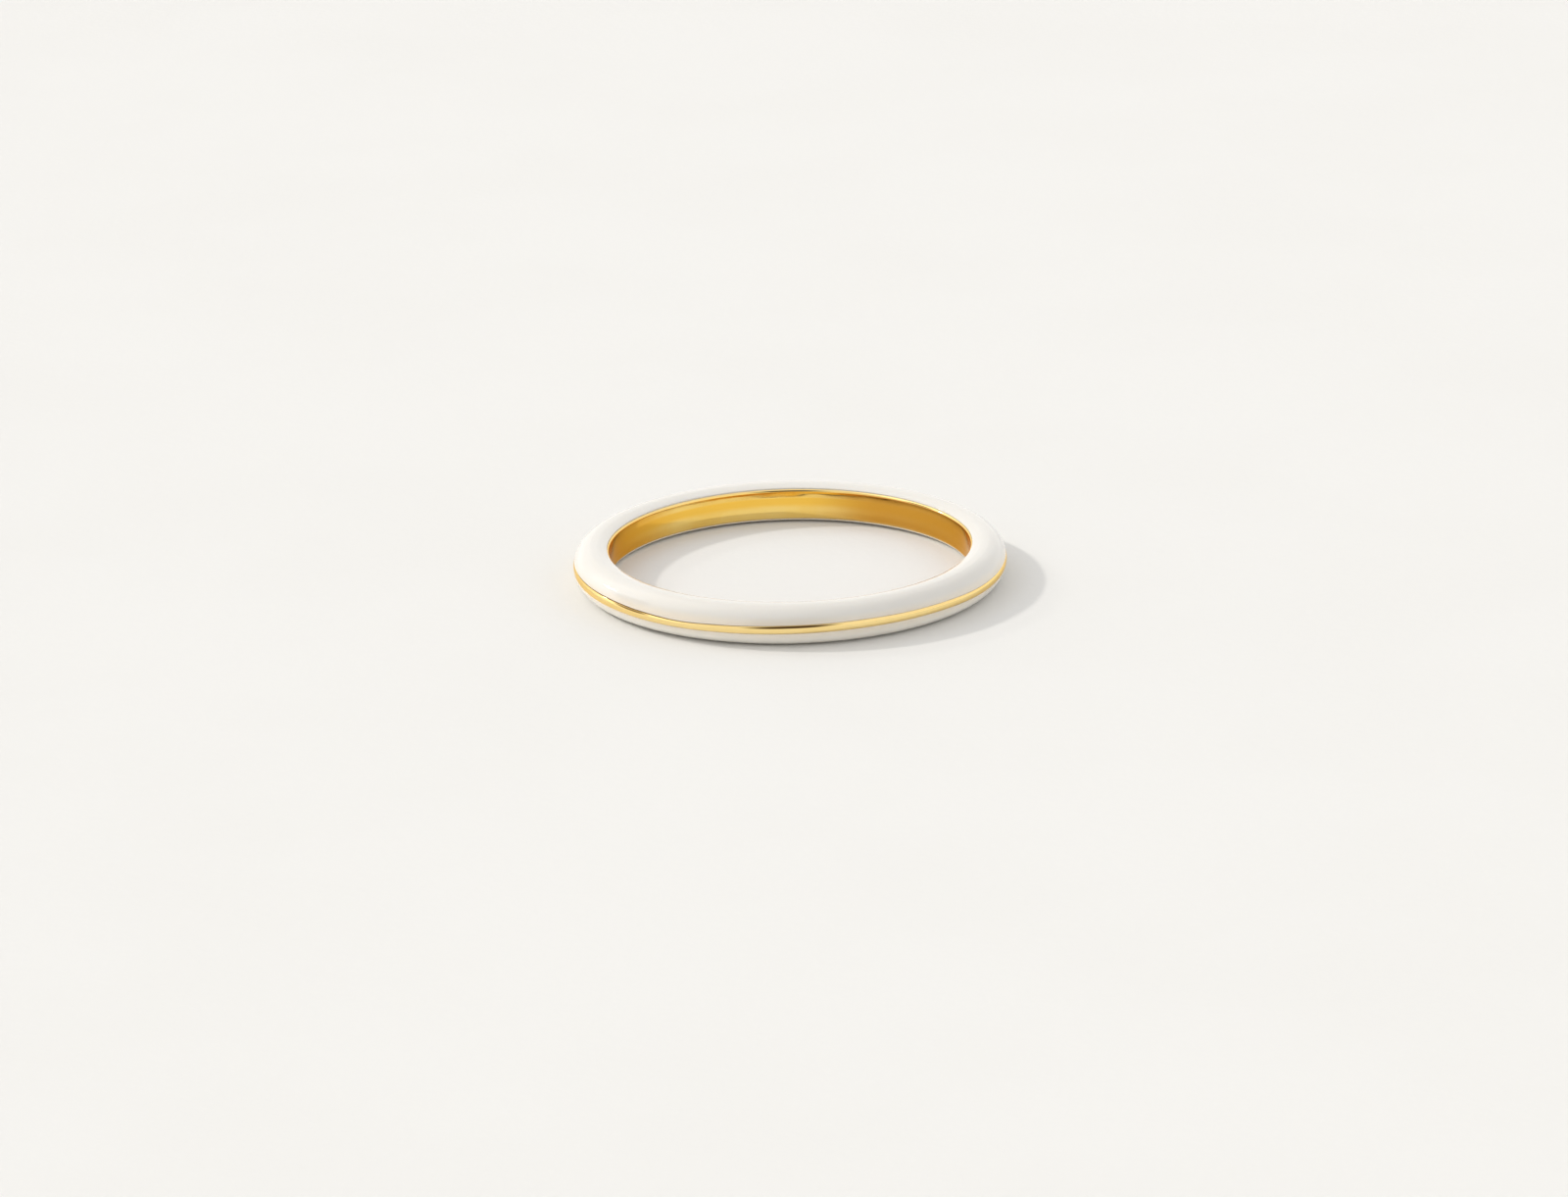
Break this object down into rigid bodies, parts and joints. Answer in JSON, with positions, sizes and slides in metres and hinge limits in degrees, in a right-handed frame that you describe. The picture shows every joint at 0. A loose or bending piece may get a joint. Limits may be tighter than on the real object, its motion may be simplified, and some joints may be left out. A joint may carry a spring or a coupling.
{
  "type": "stackable ring",
  "caption": "Slim gold stacking ring with white enamel above and below a gold line round its middle.",
  "frame": {"origin": "middle of the ring on the plane that it rests on, lying on its side", "axes": "+Z along the finger hole, up when the ring lies on a table"},
  "size_m": [0.0208, 0.0208, 0.0019],
  "materials": {
    "gold": "polished yellow gold, with fine polishing marks",
    "white_enamel": "opaque warm white enamel, glossy"
  },
  "bodies": {
    "root": {"gold_band": "gold", "upper_enamel": "white_enamel", "lower_enamel": "white_enamel"}
  },
  "joints": []
}
